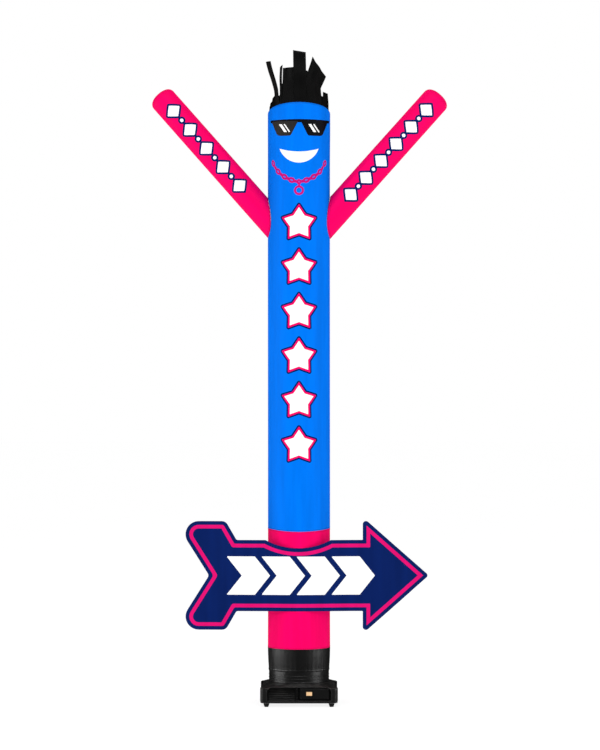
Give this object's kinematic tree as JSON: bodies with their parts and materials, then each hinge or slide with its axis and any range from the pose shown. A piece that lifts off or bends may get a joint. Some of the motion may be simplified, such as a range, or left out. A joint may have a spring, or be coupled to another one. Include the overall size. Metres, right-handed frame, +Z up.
{
  "type": "inflatable air dancer on a blower",
  "caption": "Tall inflated cloth tube figure with two raised arms, a strip-cloth hair fringe and an arrow panel, standing on a square blower.",
  "frame": {"origin": "on the floor under the middle of the blower", "axes": "+Z up along the inflated body, -Y is the front with the face and the arrow panel, +X is the side the arrow points to"},
  "size_m": [2.2434, 0.584, 4.957],
  "materials": {
    "blue_nylon": "smooth blue ripstop nylon",
    "pink_nylon": "smooth pink ripstop nylon",
    "black_nylon": "black ripstop nylon",
    "navy_panel": "navy printed banner cloth",
    "black_plastic": "black moulded plastic",
    "dark_plastic": "matt black moulded plastic",
    "amber_plastic": "amber translucent-looking switch plastic",
    "plate_metal": "dark powder-coated steel",
    "rubber": "black rubber"
  },
  "bodies": {
    "dancer": {"body_upper": "blue_nylon", "body_lower": "pink_nylon", "arm_left": "pink_nylon", "arm_right": "pink_nylon", "cuff": "black_nylon", "hair_fringe": "black_nylon", "arrow_sign": "navy_panel", "outlet_collar": "black_plastic", "blower_housing": "black_plastic", "base_plate": "plate_metal", "intake_louvre_front": "dark_plastic", "intake_louvre_right": "dark_plastic", "intake_louvre_back": "dark_plastic", "intake_louvre_left": "dark_plastic", "foot_front_left": "rubber", "foot_front_right": "rubber", "foot_back_left": "rubber", "foot_back_right": "rubber", "control_box": "dark_plastic", "switch_bezel": "black_plastic", "cable_gland": "black_plastic"},
    "rocker": {"switch_rocker": "amber_plastic"}
  },
  "joints": [
    {"name": "rocker_tilt", "type": "hinge", "parent": "dancer", "child": "rocker", "pos_m": [0.077, -0.2832, 0.102], "axis": [0, 0, 1], "range_deg": [0, 16]}
  ]
}
